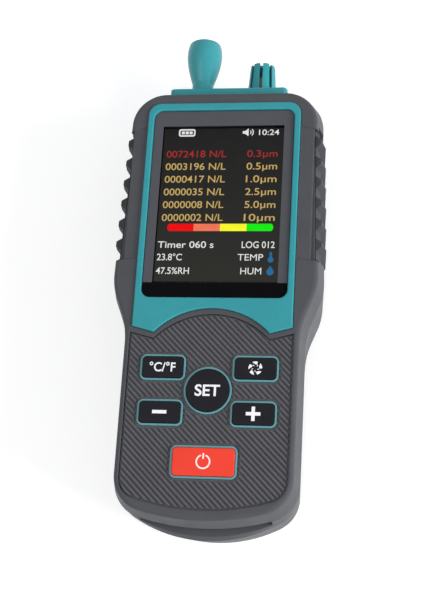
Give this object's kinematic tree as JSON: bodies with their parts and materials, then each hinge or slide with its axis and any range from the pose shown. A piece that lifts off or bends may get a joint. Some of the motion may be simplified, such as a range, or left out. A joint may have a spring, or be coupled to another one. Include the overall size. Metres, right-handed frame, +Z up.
{
  "type": "airborne particle counter",
  "caption": "Handheld particle counter with a colour display, ribbed keypad, sampling horn and caged humidity sensor on its top end",
  "frame": {"origin": "on the back face, under the middle of the overall box", "axes": "X across the instrument, +Y towards the sampling end, +Z up from the back face to the display face"},
  "size_m": [0.074, 0.1862, 0.0387],
  "materials": {
    "housing_grey": "fine matte texture",
    "rubber_dark": "matte",
    "teal_plastic": "satin",
    "panel_grey": "ribbed, satin",
    "key_black": "matte, printed legends",
    "key_red": "matte, printed power sign",
    "window_clear": "clear, glossy",
    "display_glass": "lit display",
    "white_plastic": "satin",
    "board_green": "solder resist",
    "black_plastic": "satin",
    "foam": "open foam",
    "steel": "plated",
    "brass": "machined",
    "black_metal": "black anodised",
    "silicone": "translucent, matte",
    "cell_sleeve": "shrink sleeve"
  },
  "bodies": {
    "instrument": {"front_shell": "housing_grey", "back_shell": "housing_grey", "side_grip_left": "rubber_dark", "side_grip_right": "rubber_dark", "bezel_frame": "teal_plastic", "display_window": "window_clear", "grip_panel": "panel_grey", "key_guide_frame": "teal_plastic", "key_switches": "black_plastic", "lcd_glass": "display_glass", "lcd_backlight_tray": "white_plastic", "display_pads": "foam", "main_board": "board_green", "board_screws": "steel", "buzzer": "black_plastic", "housing_screws": "steel", "top_plate": "teal_plastic", "inlet_nozzle": "steel", "inlet_seal": "rubber_dark", "sensor_cage": "teal_plastic", "humidity_sensor": "black_plastic", "optical_chamber": "black_metal", "photodetector_board": "board_green", "laser_diode": "brass", "inlet_tube": "silicone", "blower_housing": "black_plastic", "blower_cover": "black_plastic", "blower_motor": "steel", "suction_duct": "black_plastic", "battery_cell_left": "cell_sleeve", "battery_cell_right": "cell_sleeve", "battery_cradle": "black_plastic", "battery_contacts": "steel", "charge_socket": "steel", "tripod_insert": "brass"},
    "key_units": {"key_units": "key_black"},
    "key_fan": {"key_fan": "key_black"},
    "key_set": {"key_set": "key_black"},
    "key_minus": {"key_minus": "key_black"},
    "key_plus": {"key_plus": "key_black"},
    "key_power": {"key_power": "key_red"},
    "blower_rotor": {"blower_rotor": "black_plastic"},
    "sampling_horn": {"sampling_horn": "teal_plastic"}
  },
  "joints": [
    {"name": "key_units_press", "type": "slide", "parent": "instrument", "child": "key_units", "axis": [0, 0, -1], "range_m": [0, 0.0008], "stiffness_N_per_m": 600, "springref_m": -0.0006},
    {"name": "key_fan_press", "type": "slide", "parent": "instrument", "child": "key_fan", "axis": [0, 0, -1], "range_m": [0, 0.0008], "stiffness_N_per_m": 600, "springref_m": -0.0006},
    {"name": "key_set_press", "type": "slide", "parent": "instrument", "child": "key_set", "axis": [0, 0, -1], "range_m": [0, 0.0008], "stiffness_N_per_m": 600, "springref_m": -0.0006},
    {"name": "key_minus_press", "type": "slide", "parent": "instrument", "child": "key_minus", "axis": [0, 0, -1], "range_m": [0, 0.0008], "stiffness_N_per_m": 600, "springref_m": -0.0006},
    {"name": "key_plus_press", "type": "slide", "parent": "instrument", "child": "key_plus", "axis": [0, 0, -1], "range_m": [0, 0.0008], "stiffness_N_per_m": 600, "springref_m": -0.0006},
    {"name": "key_power_press", "type": "slide", "parent": "instrument", "child": "key_power", "axis": [0, 0, -1], "range_m": [0, 0.0008], "stiffness_N_per_m": 600, "springref_m": -0.0006},
    {"name": "blower_spin", "type": "hinge", "parent": "instrument", "child": "blower_rotor", "pos_m": [-0.012, 0.0134, 0.0114], "axis": [0, 0, 1], "continuous": true},
    {"name": "horn_pull_off", "type": "slide", "parent": "instrument", "child": "sampling_horn", "axis": [0, 1, 0], "range_m": [0, 0.009]}
  ]
}
